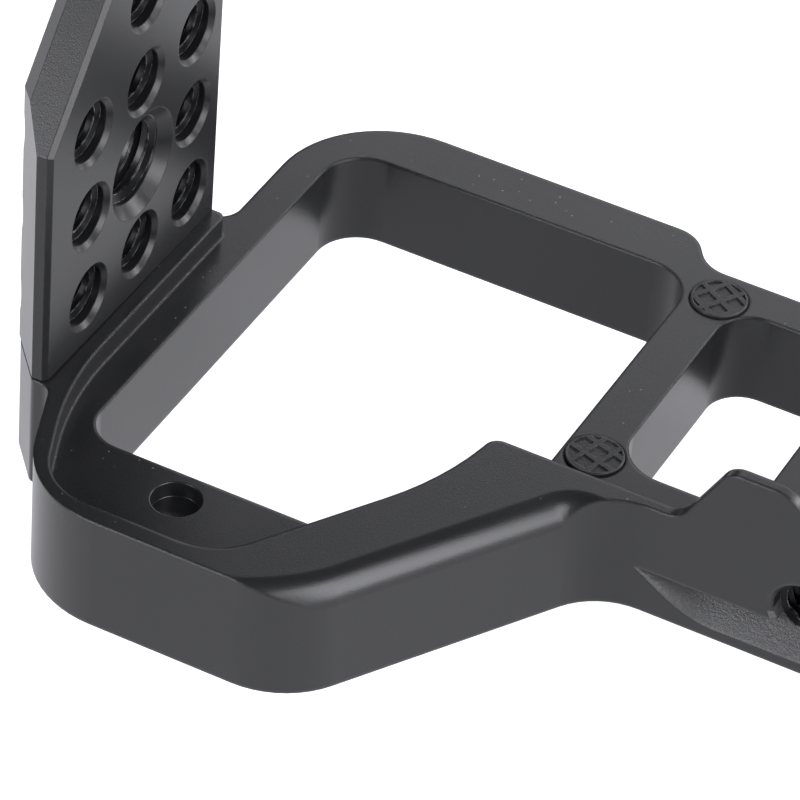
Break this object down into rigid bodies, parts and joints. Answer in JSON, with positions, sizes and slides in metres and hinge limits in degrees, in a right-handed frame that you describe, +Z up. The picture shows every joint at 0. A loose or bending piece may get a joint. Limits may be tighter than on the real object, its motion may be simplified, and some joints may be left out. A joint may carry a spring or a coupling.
{
  "type": "camera cage",
  "caption": "Bolted metal camera cage: open base plate with battery opening, side plates with accessory holes, top plate with shoe, rail, pads and captive camera screw.",
  "frame": {"origin": "on the camera screw's axis, which is also the lens's axis seen from above, at the base's underside", "axes": "+X from the grip side to the port side, +Y from the front to the back, +Z up"},
  "size_m": [0.1496, 0.0745, 0.1062],
  "materials": {
    "anodised": "black anodised aluminium, bead blasted, semi-matt",
    "screw_steel": "blackened steel screws",
    "bright_steel": "bare stainless steel",
    "spring_steel": "spring steel",
    "rubber": "black rubber with a square grid of grooves",
    "washer_plastic": "plain plastic",
    "magnet": "black coated magnet"
  },
  "bodies": {
    "cage": {"base_plate": "anodised", "grip_side_plate": "anodised", "port_side_plate": "anodised", "top_plate": "anodised", "base_pad_front_grip": "rubber", "base_pad_rear_grip": "rubber", "base_pad_front_port": "rubber", "base_pad_rear_port": "rubber", "key_magnet": "magnet", "grip_plate_screws": "screw_steel", "port_plate_screws": "screw_steel", "grip_top_screws": "screw_steel", "port_top_screws": "screw_steel", "cold_shoe": "anodised", "cold_shoe_spring": "spring_steel", "cold_shoe_screws": "bright_steel", "nato_rail": "anodised", "nato_rail_screws": "screw_steel", "rail_spring_upper": "spring_steel", "rail_spring_lower": "spring_steel"},
    "screw_carriage": {"camera_screw_washer": "washer_plastic"},
    "camera_screw": {"camera_screw": "bright_steel"},
    "key": {"stored_key": "bright_steel"},
    "rail_stop_upper": {"rail_stop_pin_upper": "bright_steel"},
    "rail_stop_lower": {"rail_stop_pin_lower": "bright_steel"}
  },
  "joints": [
    {"name": "camera_screw_travel", "type": "slide", "parent": "cage", "child": "screw_carriage", "axis": [0, 0, -1], "range_m": [0, 0.00508]},
    {"name": "camera_screw_turn", "type": "hinge", "parent": "screw_carriage", "child": "camera_screw", "pos_m": [0, 0, 0], "axis": [0, 0, -1], "range_deg": [0, 1440]},
    {"name": "stored_key_release", "type": "slide", "parent": "cage", "child": "key", "axis": [0, 0, -1], "range_m": [0, 0.008]},
    {"name": "rail_stop_upper_press", "type": "slide", "parent": "cage", "child": "rail_stop_upper", "axis": [-1, 0, 0], "range_m": [0, 0.0014], "stiffness_N_per_m": 600, "springref_m": -0.003, "deforming": ["rail_spring_upper"]},
    {"name": "rail_stop_lower_press", "type": "slide", "parent": "cage", "child": "rail_stop_lower", "axis": [-1, 0, 0], "range_m": [0, 0.0014], "stiffness_N_per_m": 600, "springref_m": -0.003, "deforming": ["rail_spring_lower"]}
  ],
  "couplings": [
    {"joint": "camera_screw_turn", "follows": "camera_screw_travel", "rad_per_m": 4947.4}
  ]
}
